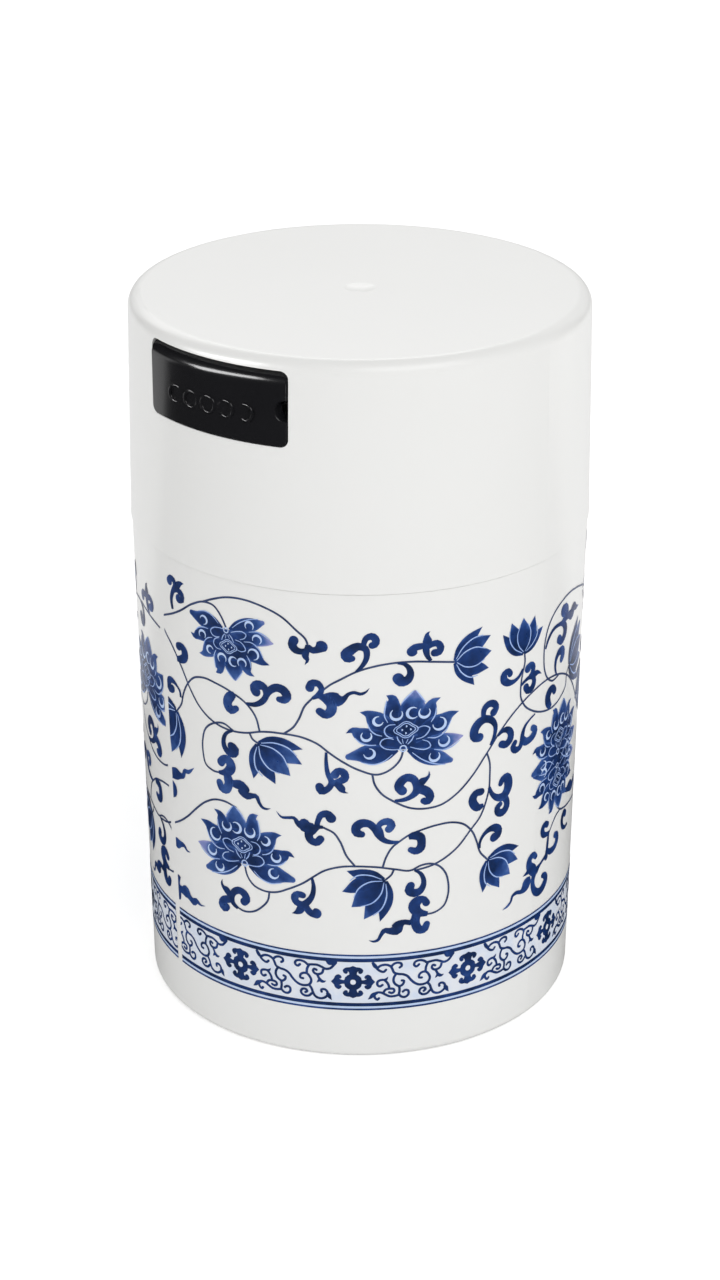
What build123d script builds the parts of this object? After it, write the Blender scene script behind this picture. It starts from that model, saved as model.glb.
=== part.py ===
from build123d import *
from math import atan, cos, radians, sin
import os

# Storage canister with a push-on vacuum cap. Every length is in millimetres.
# The origin is the centre of the base, +Z points up and the release button faces -Y.

# Outside
total_height = 140.5
seam_height = 97.2
seam_gap = 0.1
seam_rounding = 0.09
cap_top_radius = 43.0
cap_rim_radius = 43.63
body_top_radius = 43.4
body_bottom_radius = 41.7
cap_top_rounding = 2.5
foot_rounding = 1.3

# Canister: a drafted cup with a thinner neck that the cap slides over
shoulder_height = seam_height - seam_gap
neck_outer_radius = 41.85
neck_inner_radius = 40.15
neck_height = 116.5
straight_bore_start = 88.0
floor_height = 3.3
floor_radius = 39.3
floor_rounding = 3.5
foot_recess = 1.0
foot_ring_inner = 37.0

# Printed film around the canister, with a bare strip where its two ends meet
film_thickness = 0.1
film_bottom = 9.4
film_top = 96.2
film_gap_width = 2.0
film_gap_angle = -109.3

# Cap shell
cap_skirt_inner = 42.1
cap_inner_radius = 41.5
cap_step_height = 116.9
cap_top_thickness = 2.2
cap_ceiling = total_height - cap_top_thickness
gate_dish_radius = 12.0
gate_dish_depth = 0.35
window_width = 31.65
window_height = 14.1
window_centre = cap_ceiling - window_height / 2
window_corner = 1.5
hold_down_ribs = 5
snap_lugs = 4

# Inner lid: a flanged plug held in the cap by the snap lugs
lid_radius = 41.3
lid_bottom = 118.3
lid_top = 120.3
plug_radius = 39.6
plug_inner_radius = 37.0
plug_bottom = 107.0
groove_radius = 38.45
groove_bottom = 110.45
groove_height = 3.1
air_hole_radius = 2.6
seat_radius = 4.2
seat_top = 121.3

# Release button and the slide clipped behind it
button_gap = 0.25
button_radius = 43.4
button_top_rounding = 2.7
button_wall = 2.2
button_back = 34.5
notch_radius = 1.9
notch_inset = 0.2
notch_rounding = 0.3
notch_height = 131.0
grip_rings = 5
grip_ring_step = 5.4
grip_ring_radius = 1.5
grip_ring_wire = 0.3
grip_ring_height = 129.8
peg_spacing = 12.0
peg_height = 132.5
slide_bottom = 127.0
slide_thickness = 2.0
slide_half_width = 9.0
slide_top = slide_bottom + slide_thickness
slide_front = 39.3
slide_back = 12.0

# Air valve: the slide's ramps lift a crossbar, and the crossbar lifts the stopper
ramp_slope = 0.4
ramp_start = 1.5
ramp_end = -5.5
crossbar_radius = 1.0
crossbar_clearance = 0.05
ramp_height_at_stem = slide_top + ramp_slope * ramp_start
crossbar_height = ramp_height_at_stem + crossbar_radius / cos(atan(ramp_slope)) + crossbar_clearance
stem_radius = 1.6
spring_seat_bottom = 131.6
spring_seat_top = 132.4
stem_pin_top = 135.0

# Springs
spring_axis_height = slide_bottom + slide_thickness / 2
spring_post_front = 24.0
button_spring_radius = 3.0
button_spring_wire = 0.3
button_spring_turns = 6
valve_spring_radius = 2.2
valve_spring_wire = 0.22
valve_spring_turns = 5

os.makedirs("parts", exist_ok=True)


# Canister: foot ring, drafted wall, shoulder, neck and the straight bore the seal runs in
with BuildPart() as canister_body:
    with BuildSketch(Plane.XZ):
        with BuildLine():
            Polyline(
                (0, foot_recess),
                (foot_ring_inner, foot_recess),
                (foot_ring_inner + foot_recess, 0),
                (body_bottom_radius, 0),
                (body_top_radius, shoulder_height),
                (neck_outer_radius, shoulder_height),
                (neck_outer_radius, neck_height),
                (neck_inner_radius, neck_height),
                (neck_inner_radius, straight_bore_start),
                (floor_radius, floor_height),
                (0, floor_height),
                close=True,
            )
        make_face()
    revolve(axis=Axis.Z)
    round_edges = canister_body.edges().filter_by(GeomType.CIRCLE)
    foot_edge = round_edges.group_by(Axis.Z)[0].sort_by(SortBy.RADIUS)[-1]
    floor_edge = round_edges.filter_by(lambda e: abs(e.radius - floor_radius) < 0.01)
    shoulder_edge = round_edges.filter_by(lambda e: abs(e.radius - body_top_radius) < 0.01)
    neck_rim = round_edges.group_by(Axis.Z)[-1]
    fillet(foot_edge, radius=foot_rounding)
    fillet(floor_edge, radius=floor_rounding)
    fillet(shoulder_edge, radius=seam_rounding)
    fillet(neck_rim, radius=0.7)
canister_body.part.label = "canister_body"


# Printed film: follows the drafted wall and stops short of both its own ends
def wall_radius(height):
    share = height / shoulder_height
    return body_bottom_radius + (body_top_radius - body_bottom_radius) * share


with BuildPart() as printed_wrap:
    with BuildSketch(Plane.XZ):
        with BuildLine():
            Polyline(
                (wall_radius(film_bottom), film_bottom),
                (wall_radius(film_bottom) + film_thickness, film_bottom),
                (wall_radius(film_top) + film_thickness, film_top),
                (wall_radius(film_top), film_top),
                close=True,
            )
        make_face()
    revolve(axis=Axis.Z)
    with BuildSketch(Plane.XY):
        with PolarLocations(body_top_radius, 1, start_angle=film_gap_angle):
            Rectangle(8, film_gap_width)
    extrude(amount=total_height, mode=Mode.SUBTRACT)
printed_wrap.part.label = "printed_wrap"


# Cap shell: drafted skirt, rounded top, button window, ribs that hold the inner lid down
# and snap lugs that hold it up
with BuildPart() as cap_shell:
    with BuildSketch(Plane.XZ):
        with BuildLine():
            Polyline(
                (0, total_height),
                (cap_top_radius, total_height),
                (cap_rim_radius, seam_height),
                (cap_skirt_inner, seam_height),
                (cap_skirt_inner, cap_step_height),
                (cap_inner_radius, cap_step_height),
                (cap_inner_radius, cap_ceiling),
                (0, cap_ceiling),
                close=True,
            )
        make_face()
    revolve(axis=Axis.Z)
    cap_top_edge = cap_shell.edges().filter_by(GeomType.CIRCLE).group_by(Axis.Z)[-1]
    rim_edges = cap_shell.edges().filter_by(GeomType.CIRCLE).group_by(Axis.Z)[0]
    fillet(cap_top_edge, radius=cap_top_rounding)
    fillet(rim_edges, radius=seam_rounding)
    with Locations((0, 0, total_height + gate_dish_radius - gate_dish_depth)):
        Sphere(gate_dish_radius, mode=Mode.SUBTRACT)
    with BuildSketch(Plane.XZ.offset(button_back)):
        with Locations((0, window_centre)):
            RectangleRounded(window_width, window_height, window_corner)
    extrude(amount=12, mode=Mode.SUBTRACT)
    with BuildSketch(Plane.XY.offset(cap_ceiling)):
        Circle(1.2)
    extrude(amount=-1.5)
    with BuildSketch(Plane.XY.offset(cap_ceiling)):
        Circle(4.0)
        Circle(3.0, mode=Mode.SUBTRACT)
    extrude(amount=-1.0)
    with BuildSketch(Plane.XY.offset(lid_top + 0.15)):
        with PolarLocations(40.0, hold_down_ribs, start_angle=-30, angular_range=300):
            Rectangle(3.6, 1.5)
    extrude(until=Until.NEXT)
    with BuildSketch(Plane.XY.offset(lid_bottom - 0.15)):
        with PolarLocations(41.3, snap_lugs, start_angle=45):
            Rectangle(1.0, 8.0)
    extrude(amount=-1.1)
cap_shell.part.label = "cap_shell"


# Inner lid: flange, grooved plug, raised valve seat, guide rails and the spring post
with BuildPart() as inner_lid:
    with BuildSketch(Plane.XZ):
        with BuildLine():
            Polyline(
                (0, lid_top),
                (lid_radius, lid_top),
                (lid_radius, lid_bottom),
                (plug_radius, lid_bottom),
                (plug_radius, groove_bottom + groove_height),
                (groove_radius, groove_bottom + groove_height),
                (groove_radius, groove_bottom),
                (plug_radius, groove_bottom),
                (plug_radius, plug_bottom + 0.7),
                (plug_radius - 0.7, plug_bottom),
                (plug_inner_radius, plug_bottom),
                (plug_inner_radius, lid_bottom),
                (0, lid_bottom),
                close=True,
            )
        make_face()
    revolve(axis=Axis.Z)
    with BuildSketch(Plane.XY.offset(lid_top)):
        Circle(seat_radius)
    extrude(amount=seat_top - lid_top)
    with BuildSketch(Plane.XY.offset(seat_top)):
        Circle(air_hole_radius)
    extrude(amount=lid_bottom - seat_top, mode=Mode.SUBTRACT)
    with BuildSketch(Plane.XY.offset(lid_top)):
        with Locations((0, -8.5)):
            with GridLocations(2 * (slide_half_width + button_gap + 1), 1, 2, 1):
                Rectangle(2, 35)
    extrude(amount=slide_top + 0.8 - lid_top)
    with BuildSketch(Plane.XY.offset(lid_top)):
        with Locations((0, -8.5)):
            with GridLocations(15, 1, 2, 1):
                Rectangle(1.4, 35)
    extrude(amount=slide_bottom - button_gap - lid_top)
    with BuildSketch(Plane.XY.offset(lid_top)):
        with Locations((0, spring_post_front + 1.25)):
            Rectangle(10, 2.5)
    extrude(amount=spring_axis_height + 4 - lid_top)
    with BuildSketch(Plane.YZ.offset(-0.8)):
        with BuildLine():
            Polyline(
                (spring_post_front + 2.5, lid_top),
                (spring_post_front + 9.5, lid_top),
                (spring_post_front + 2.5, spring_axis_height + 3),
                close=True,
            )
        make_face()
    extrude(amount=1.6)
    with BuildSketch(Plane.XZ.offset(-spring_post_front)):
        with Locations((0, spring_axis_height)):
            Circle(1.5)
    extrude(amount=3)
inner_lid.part.label = "inner_lid"


# Seal ring: two soft lips in the plug's groove
seal_inner_radius = groove_radius + 0.05
seal_outer_radius = neck_inner_radius - 0.08
seal_bottom = groove_bottom + 0.05
seal_top = groove_bottom + groove_height - 0.05

with BuildPart() as lid_seal_ring:
    with BuildSketch(Plane.XZ):
        with Locations(((seal_inner_radius + 39.3) / 2, (seal_bottom + seal_top) / 2)):
            Rectangle(39.3 - seal_inner_radius, seal_top - seal_bottom)
        with Locations(
            (seal_outer_radius - 0.6, seal_bottom + 0.6),
            (seal_outer_radius - 0.6, seal_top - 0.6),
        ):
            Circle(0.6)
        with Locations(
            (39.2, seal_bottom + 0.6),
            (39.2, seal_top - 0.6),
        ):
            Rectangle(0.6, 1.2)
    revolve(axis=Axis.Z)
lid_seal_ring.part.label = "lid_seal_ring"


# Release button: a thin-walled block cut to the cap's curve, with one soft top edge
button_width = window_width - 2 * button_gap
button_height = window_height - 2 * button_gap
button_top = window_centre + button_height / 2

with BuildPart() as button_envelope:
    with BuildSketch(Plane.XZ):
        with BuildLine():
            Polyline(
                (0, window_centre - button_height),
                (button_radius, window_centre - button_height),
                (button_radius, button_top),
                (0, button_top),
                close=True,
            )
        make_face()
    revolve(axis=Axis.Z)
    envelope_top_edge = button_envelope.edges().filter_by(GeomType.CIRCLE).group_by(Axis.Z)[-1]
    fillet(envelope_top_edge, radius=button_top_rounding)

with BuildPart() as button_pocket:
    with BuildSketch(Plane.XZ.offset(button_back - 1)):
        with Locations((0, window_centre)):
            Rectangle(button_width - 3.2, button_height - 3.2)
    extrude(amount=12)
    with BuildSketch(Plane.XY):
        Circle(button_radius - button_wall)
    extrude(amount=total_height, mode=Mode.INTERSECT)

with BuildPart() as press_button:
    with BuildSketch(Plane.XZ.offset(button_back)):
        with Locations((0, window_centre)):
            RectangleRounded(button_width, button_height, window_corner - button_gap)
    extrude(amount=12)
    add(button_envelope.part, mode=Mode.INTERSECT)
    add(button_pocket.part, mode=Mode.SUBTRACT)
    with BuildSketch(Plane.XZ.offset(35.3)):
        with Locations((0, window_centre)):
            with GridLocations(32.4, 1, 2, 1):
                Rectangle(4, 9)
    extrude(amount=1.6)
    with BuildSketch(Plane.XZ.offset(37.0)):
        with Locations((0, peg_height)):
            with GridLocations(peg_spacing, 1, 2, 1):
                Circle(1.2)
    extrude(amount=4.8)
    with BuildSketch(Plane.XZ.offset(button_back)):
        with Locations((button_width / 2 - notch_inset, notch_height)):
            Circle(notch_radius)
    extrude(amount=12, mode=Mode.SUBTRACT)
    notch_rim = press_button.edges().filter_by(GeomType.BSPLINE).sort_by(Axis.Y)[0]
    fillet(notch_rim, radius=notch_rounding)
    for number in range(grip_rings):
        turn = (number - (grip_rings - 1) / 2) * grip_ring_step
        ring_x = (button_radius - 0.1) * sin(radians(turn))
        ring_y = (0.1 - button_radius) * cos(radians(turn))
        with Locations(Location((ring_x, ring_y, grip_ring_height), (90, 0, turn))):
            Torus(grip_ring_radius, grip_ring_wire)
press_button.part.label = "press_button"


# Slide: a flat bar with a slot around the valve stem and a ramp on each side of the slot
with BuildPart() as slide_fork:
    with BuildSketch(Plane.XY.offset(slide_bottom)):
        with Locations((0, (slide_back - slide_front) / 2)):
            Rectangle(2 * slide_half_width, slide_back + slide_front)
        with Locations((0, -1.9)):
            Rectangle(4.6, 9.8, mode=Mode.SUBTRACT)
    extrude(amount=slide_thickness)
    with BuildSketch(Plane.XY.offset(slide_bottom)):
        with Locations((0, -slide_front + 0.9)):
            Rectangle(22, 1.8)
    extrude(amount=8.5)
    with BuildSketch(Plane.XZ.offset(slide_front)):
        with Locations((0, peg_height)):
            with GridLocations(peg_spacing, 1, 2, 1):
                Circle(1.25)
    extrude(amount=-1.8, mode=Mode.SUBTRACT)
    for ramp_side in (-6.2, 2.6):
        with BuildSketch(Plane.YZ.offset(ramp_side)):
            with BuildLine():
                Polyline(
                    (ramp_start, slide_top),
                    (ramp_end, slide_top + ramp_slope * (ramp_start - ramp_end)),
                    (ramp_end - 1.5, slide_top + ramp_slope * (ramp_start - ramp_end)),
                    (ramp_end - 2.5, slide_top),
                    close=True,
                )
            make_face()
        extrude(amount=3.6)
    with BuildSketch(Plane.XZ.offset(-slide_back)):
        with Locations((0, spring_axis_height)):
            Rectangle(10, 8)
    extrude(amount=1.5)
    with BuildSketch(Plane.XZ.offset(-slide_back)):
        with Locations((0, spring_axis_height)):
            Circle(1.5)
    extrude(amount=-3)
slide_fork.part.label = "slide_fork"


# Valve stem: shaft, crossbar, spring seat and the pin inside the spring
stem_bottom = 122.3

with BuildPart() as valve_stem:
    with BuildSketch(Plane.XY.offset(stem_bottom)):
        Circle(stem_radius)
    extrude(amount=spring_seat_bottom - stem_bottom)
    with BuildSketch(Plane.XY.offset(spring_seat_bottom)):
        Circle(2.9)
    extrude(amount=spring_seat_top - spring_seat_bottom)
    with BuildSketch(Plane.XY.offset(spring_seat_top)):
        Circle(1.2)
    extrude(amount=stem_pin_top - spring_seat_top)
    with BuildSketch(Plane.YZ.offset(-5.8)):
        with Locations((0, crossbar_height)):
            Circle(crossbar_radius)
    extrude(amount=11.6)
valve_stem.part.label = "valve_stem"


# Stopper: a soft disc on the raised seat, with a socket for the stem
with BuildPart() as valve_stopper:
    with BuildSketch(Plane.XY.offset(seat_top + 0.05)):
        Circle(5.2)
    extrude(amount=1.5)
    with BuildSketch(Plane.XY.offset(seat_top + 1.55)):
        Circle(3.0)
    extrude(amount=1.0)
    with BuildSketch(Plane.XY.offset(stem_bottom - 0.05)):
        Circle(stem_radius + 0.05)
    extrude(amount=3, mode=Mode.SUBTRACT)
valve_stopper.part.label = "valve_stopper"


# Springs: plain helical coils between their two seats
button_spring_length = spring_post_front - slide_back - 2 * button_spring_wire - 0.1
button_spring_start = slide_back + button_spring_wire + 0.05

with BuildPart() as button_spring:
    with BuildLine():
        coil = Helix(
            pitch=button_spring_length / button_spring_turns,
            height=button_spring_length,
            radius=button_spring_radius,
            center=(0, button_spring_start, spring_axis_height),
            direction=(0, 1, 0),
        )
    with BuildSketch(Plane(origin=coil @ 0, z_dir=coil % 0)):
        Circle(button_spring_wire)
    sweep(is_frenet=True)
button_spring.part.label = "button_spring"

valve_spring_start = spring_seat_top + valve_spring_wire + 0.05
valve_spring_length = cap_ceiling - spring_seat_top - 2 * valve_spring_wire - 0.1

with BuildPart() as valve_spring:
    with BuildLine():
        coil = Helix(
            pitch=valve_spring_length / valve_spring_turns,
            height=valve_spring_length,
            radius=valve_spring_radius,
            center=(0, 0, valve_spring_start),
        )
    with BuildSketch(Plane(origin=coil @ 0, z_dir=coil % 0)):
        Circle(valve_spring_wire)
    sweep(is_frenet=True)
valve_spring.part.label = "valve_spring"


export_step(canister_body.part, "parts/canister_body.step")
export_step(printed_wrap.part, "parts/printed_wrap.step")
export_step(cap_shell.part, "parts/cap_shell.step")
export_step(inner_lid.part, "parts/inner_lid.step")
export_step(lid_seal_ring.part, "parts/lid_seal_ring.step")
export_step(press_button.part, "parts/press_button.step")
export_step(slide_fork.part, "parts/slide_fork.step")
export_step(valve_stem.part, "parts/valve_stem.step")
export_step(valve_stopper.part, "parts/valve_stopper.step")
export_step(button_spring.part, "parts/button_spring.step")
export_step(valve_spring.part, "parts/valve_spring.step")
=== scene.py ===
import math

import bmesh
import bpy
import numpy as np
from mathutils import Matrix, Vector


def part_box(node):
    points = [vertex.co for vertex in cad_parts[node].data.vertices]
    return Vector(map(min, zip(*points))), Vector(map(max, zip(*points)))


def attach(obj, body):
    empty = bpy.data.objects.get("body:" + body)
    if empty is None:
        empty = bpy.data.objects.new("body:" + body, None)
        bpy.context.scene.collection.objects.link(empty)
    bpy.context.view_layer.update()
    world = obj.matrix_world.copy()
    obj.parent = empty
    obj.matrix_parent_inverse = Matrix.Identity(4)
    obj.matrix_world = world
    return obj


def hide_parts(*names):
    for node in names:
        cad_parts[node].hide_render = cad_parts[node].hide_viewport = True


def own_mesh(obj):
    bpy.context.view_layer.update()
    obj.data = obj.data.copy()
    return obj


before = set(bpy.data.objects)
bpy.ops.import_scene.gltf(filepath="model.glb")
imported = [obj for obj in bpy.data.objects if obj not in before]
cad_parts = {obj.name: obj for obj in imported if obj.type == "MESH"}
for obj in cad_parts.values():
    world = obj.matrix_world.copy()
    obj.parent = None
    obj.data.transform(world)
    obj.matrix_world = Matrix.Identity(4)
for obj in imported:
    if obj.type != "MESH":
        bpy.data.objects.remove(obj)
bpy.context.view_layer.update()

MM = 0.001

# Camera: how far round from the button it stands, its place in metres, and its lens in mm
CAMERA_TURN = math.radians(38.4)
CAMERA_DISTANCE = 0.5472
CAMERA_HEIGHT = 0.3149
CAMERA_PITCH = math.radians(24.21)
CAMERA_LENS = 86.64
SENSOR_WIDTH = 36

# The drafted wall that the print lies on, in mm
SHOULDER_HEIGHT = 97.08
WALL_FOOT_RADIUS = 41.7
WALL_TOP_RADIUS = 43.4
MM_PER_DEGREE = 0.75

# The print's two ends in degrees, the height in mm they are given at, and their lean per mm
FILM_START = -57.2
FILM_END = 300.6
FILM_EDGE_HEIGHT = 65.0
FILM_EDGE_LEAN = 0.024

# Print colours, from the deepest cobalt to the palest wash
COBALT_DEEP = (0.002, 0.019, 0.085, 1)
COBALT = (0.005, 0.038, 0.185, 1)
COBALT_MID = (0.035, 0.105, 0.345, 1)
VIOLET_PALE = (0.280, 0.300, 0.580, 1)
VINE_SLATE = (0.013, 0.030, 0.108, 1)
VINE_PALE = (0.100, 0.150, 0.300, 1)
LINE_PALE = (0.280, 0.420, 0.780, 1)
LINE_WHITE = (0.550, 0.680, 0.900, 1)
WASH_BLUE = (0.480, 0.610, 0.840, 1)
WASH_WHITE = (0.730, 0.760, 0.815, 1)

STEEL_DARK = (0.42, 0.42, 0.41, 1)
STEEL_LIGHT = (0.62, 0.62, 0.60, 1)


# ---------------------------------------------------------------- materials

# How fine each noise is, in cells to the metre
CLOUD_SCALE = 28
GLOSS_SCALE = 45
PEEL_SCALE = 420
STREAK_SCALE = 1400
POOL_SCALE = 190
SPECK_SCALE = 620
INK_GRAIN_SCALE = 1500

# The range that most of a noise falls in
NOISE_LOW = 0.3
NOISE_HIGH = 0.7

# How deep the bumps are, in metres
PEEL_DEPTH = 0.00008
FINE_DEPTH = 0.00003


def new_material(name):
    """A material with its nodes, their links and its shader."""
    material = bpy.data.materials.new(name)
    material.use_nodes = True
    nodes = material.node_tree.nodes
    links = material.node_tree.links
    shader = nodes["Principled BSDF"]
    return material, nodes, links, shader


def noise(nodes, links, scale, detail):
    """Cloudy noise fixed to the object, around a half."""
    coordinates = nodes.new("ShaderNodeTexCoord")
    texture = nodes.new("ShaderNodeTexNoise")
    texture.inputs["Scale"].default_value = scale
    texture.inputs["Detail"].default_value = detail
    links.new(coordinates.outputs["Object"], texture.inputs["Vector"])
    return texture.outputs["Fac"]


def ramp(nodes, links, factor, stops):
    """Turns a factor into a colour; each stop is a position and its colour."""
    node = nodes.new("ShaderNodeValToRGB")
    links.new(factor, node.inputs["Fac"])
    elements = node.color_ramp.elements
    while len(elements) < len(stops):
        elements.new(0.5)
    for element, (position, colour) in zip(elements, stops):
        element.position = position
        element.color = colour
    return node.outputs["Color"]


def spread(nodes, links, factor, low, high):
    """Stretches a noise's usual range so that it runs from low to high."""
    node = nodes.new("ShaderNodeMapRange")
    node.inputs["From Min"].default_value = NOISE_LOW
    node.inputs["From Max"].default_value = NOISE_HIGH
    node.inputs["To Min"].default_value = low
    node.inputs["To Max"].default_value = high
    node.clamp = False
    links.new(factor, node.inputs["Value"])
    return node.outputs["Result"]


def bump(nodes, links, shader, height, strength, distance):
    """Makes a surface look uneven without moving it."""
    node = nodes.new("ShaderNodeBump")
    node.inputs["Strength"].default_value = strength
    node.inputs["Distance"].default_value = distance
    links.new(height, node.inputs["Height"])
    links.new(node.outputs["Normal"], shader.inputs["Normal"])


def moulded_plastic(name, dark, light, rough_low, rough_high, peel):
    """Moulded plastic: a faint cloudiness in its colour, uneven gloss and a soft orange peel."""
    material, nodes, links, shader = new_material(name)
    cloud = noise(nodes, links, CLOUD_SCALE, 2)
    colour = ramp(nodes, links, cloud, [(0.0, dark), (1.0, light)])
    links.new(colour, shader.inputs["Base Color"])
    gloss = noise(nodes, links, GLOSS_SCALE, 2)
    rough = spread(nodes, links, gloss, rough_low, rough_high)
    links.new(rough, shader.inputs["Roughness"])
    grain = noise(nodes, links, PEEL_SCALE, 2)
    bump(nodes, links, shader, grain, peel, PEEL_DEPTH)
    return material


white_plastic = moulded_plastic(
    "white_plastic",
    dark=(0.782, 0.782, 0.767, 1),
    light=(0.804, 0.804, 0.791, 1),
    rough_low=0.28,
    rough_high=0.30,
    peel=0.05,
)
natural_plastic = moulded_plastic(
    "natural_plastic",
    dark=(0.70, 0.70, 0.67, 1),
    light=(0.76, 0.76, 0.735, 1),
    rough_low=0.38,
    rough_high=0.5,
    peel=0.15,
)
black_plastic = moulded_plastic(
    "black_plastic",
    dark=(0.007, 0.007, 0.008, 1),
    light=(0.013, 0.013, 0.015, 1),
    rough_low=0.14,
    rough_high=0.19,
    peel=0.04,
)
silicone = moulded_plastic(
    "silicone",
    dark=(0.55, 0.56, 0.55, 1),
    light=(0.62, 0.63, 0.62, 1),
    rough_low=0.45,
    rough_high=0.6,
    peel=0.2,
)
black_rubber = moulded_plastic(
    "black_rubber",
    dark=(0.02, 0.02, 0.021, 1),
    light=(0.035, 0.035, 0.036, 1),
    rough_low=0.55,
    rough_high=0.7,
    peel=0.4,
)


def spring_wire():
    """Drawn steel wire: fine streaks in its grey and in its gloss."""
    material, nodes, links, shader = new_material("spring_wire")
    streaks = noise(nodes, links, STREAK_SCALE, 5)
    colour = ramp(nodes, links, streaks, [(NOISE_LOW, STEEL_DARK), (NOISE_HIGH, STEEL_LIGHT)])
    links.new(colour, shader.inputs["Base Color"])
    links.new(spread(nodes, links, streaks, 0.22, 0.38), shader.inputs["Roughness"])
    shader.inputs["Metallic"].default_value = 1.0
    bump(nodes, links, shader, streaks, 0.1, FINE_DEPTH)
    return material


wire_steel = spring_wire()


def add(nodes, links, first, second):
    """The sum of two factors."""
    node = nodes.new("ShaderNodeMath")
    node.operation = "ADD"
    links.new(first, node.inputs[0])
    links.new(second, node.inputs[1])
    return node.outputs["Value"]


def ink(name, stops, pooling, mottle):
    """Transfer ink: each stroke's own tone, with pools and mottling like a wash, under gloss."""
    material, nodes, links, shader = new_material(name)
    tone = nodes.new("ShaderNodeAttribute")
    tone.attribute_name = "tone"
    pools = spread(nodes, links, noise(nodes, links, POOL_SCALE, 2), -pooling, pooling)
    specks = spread(nodes, links, noise(nodes, links, SPECK_SCALE, 5), -mottle, mottle)
    total = add(nodes, links, add(nodes, links, tone.outputs["Fac"], pools), specks)
    colour = ramp(nodes, links, total, stops)
    links.new(colour, shader.inputs["Base Color"])
    grain = noise(nodes, links, INK_GRAIN_SCALE, 3)
    links.new(spread(nodes, links, grain, 0.28, 0.4), shader.inputs["Roughness"])
    bump(nodes, links, shader, grain, 0.05, FINE_DEPTH)
    return material


PETAL_STOPS = [(0.0, COBALT_DEEP), (0.3, COBALT), (0.6, COBALT_MID), (1.0, VIOLET_PALE)]
VINE_STOPS = [(0.0, VINE_SLATE), (1.0, VINE_PALE)]
LINE_STOPS = [(0.0, LINE_PALE), (1.0, LINE_WHITE)]
WASH_STOPS = [(0.0, WASH_BLUE), (1.0, WASH_WHITE)]

petal_ink = ink("petal_ink", PETAL_STOPS, pooling=0.16, mottle=0.12)
vine_ink = ink("vine_ink", VINE_STOPS, pooling=0.15, mottle=0.1)
line_ink = ink("line_ink", LINE_STOPS, pooling=0.2, mottle=0.2)
wash_ink = ink("wash_ink", WASH_STOPS, pooling=0.25, mottle=0.15)


PART_MATERIALS = {
    "canister_body": white_plastic,
    "cap_shell": white_plastic,
    "inner_lid": natural_plastic,
    "slide_fork": natural_plastic,
    "valve_stem": natural_plastic,
    "press_button": black_plastic,
    "lid_seal_ring": silicone,
    "valve_stopper": black_rubber,
}

for part_name, material in PART_MATERIALS.items():
    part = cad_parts[part_name]
    part.data.materials.clear()
    part.data.materials.append(material)


# ---------------------------------------------------------------- drawing on the wall

# A stroke's least width, and the end width from which it gets a round end, in mm
THINNEST = 0.02
BLUNT_WIDTH = 0.25
ROUND_END_TURNS = [20, 40, 58, 74, 88]

# Each stroke of a stack lies a little higher, and rises towards its tip, in mm
STACK_SIZE = 20
STACK_STEP = 0.0004
TIP_RISE = 0.006

# Height at which a leaning copy of the garden crosses its upright place
LEAN_CENTRE = 50.0


def on_wall(turn, height, lift):
    """A point of the print: degrees round from the camera side, mm up, mm off the wall."""
    angle = CAMERA_TURN + np.radians(turn)
    share = height / SHOULDER_HEIGHT
    radius = WALL_FOOT_RADIUS + (WALL_TOP_RADIUS - WALL_FOOT_RADIUS) * share + lift
    x = radius * np.sin(angle)
    y = -radius * np.cos(angle)
    return np.stack([x * MM, y * MM, height * MM], axis=-1)


def smooth_path(knots, step):
    """Samples a smooth curve through the knots; each knot is x, y and width in mm."""
    knots = np.array(knots, dtype=float)
    gaps = np.maximum(np.hypot(*np.diff(knots[:, :2], axis=0).T), 1e-6)
    at = np.concatenate([[0], np.cumsum(gaps)])
    slopes = np.gradient(knots, at, axis=0)
    count = max(4, int(at[-1] / step) + 2)
    samples = np.linspace(0, at[-1], count)
    index = np.clip(np.searchsorted(at, samples, side="right") - 1, 0, len(gaps) - 1)
    span = gaps[index][:, None]
    t = (samples - at[index])[:, None] / span
    start, end = knots[index], knots[index + 1]
    start_slope, end_slope = slopes[index] * span, slopes[index + 1] * span
    path = (
        (2 * t**3 - 3 * t**2 + 1) * start
        + (t**3 - 2 * t**2 + t) * start_slope
        + (3 * t**2 - 2 * t**3) * end
        + (t**3 - t**2) * end_slope
    )
    path[:, 2] = np.maximum(path[:, 2], THINNEST)
    return path


def round_end(path):
    """Finishes a stroke with a half circle as wide as the stroke's end."""
    heading = path[-1, :2] - path[-2, :2]
    heading = heading / np.hypot(*heading)
    width = path[-1, 2]
    turns = np.radians(ROUND_END_TURNS)[:, None]
    tips = path[-1, :2] + heading * (width / 2) * np.sin(turns)
    return np.vstack([path, np.hstack([tips, width * np.cos(turns)])])


def film_edges(height):
    """Where the print starts and ends, in degrees: its two ends lean a little."""
    lean = (FILM_EDGE_HEIGHT - height) * FILM_EDGE_LEAN
    return FILM_START + lean, FILM_END + lean


def spread_out(path, columns):
    """Rows of points across a path, as wide as the path is there."""
    heading = np.gradient(path[:, :2], axis=0)
    heading /= np.maximum(np.hypot(*heading.T), 1e-9)[:, None]
    side = np.stack([-heading[:, 1], heading[:, 0]], axis=1)
    across = np.linspace(-0.5, 0.5, columns)
    return path[:, None, :2] + side[:, None, :] * (path[:, None, 2:3] * across[None, :, None])


def faces_between(rows, columns):
    """Four-cornered faces that join a grid's rows, as the numbers of its points."""
    grid = np.arange(rows * columns).reshape(rows, columns)
    quads = np.stack([grid[:-1, 1:], grid[:-1, :-1], grid[1:, :-1], grid[1:, 1:]], axis=-1)
    return quads.reshape(-1, 4)


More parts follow.
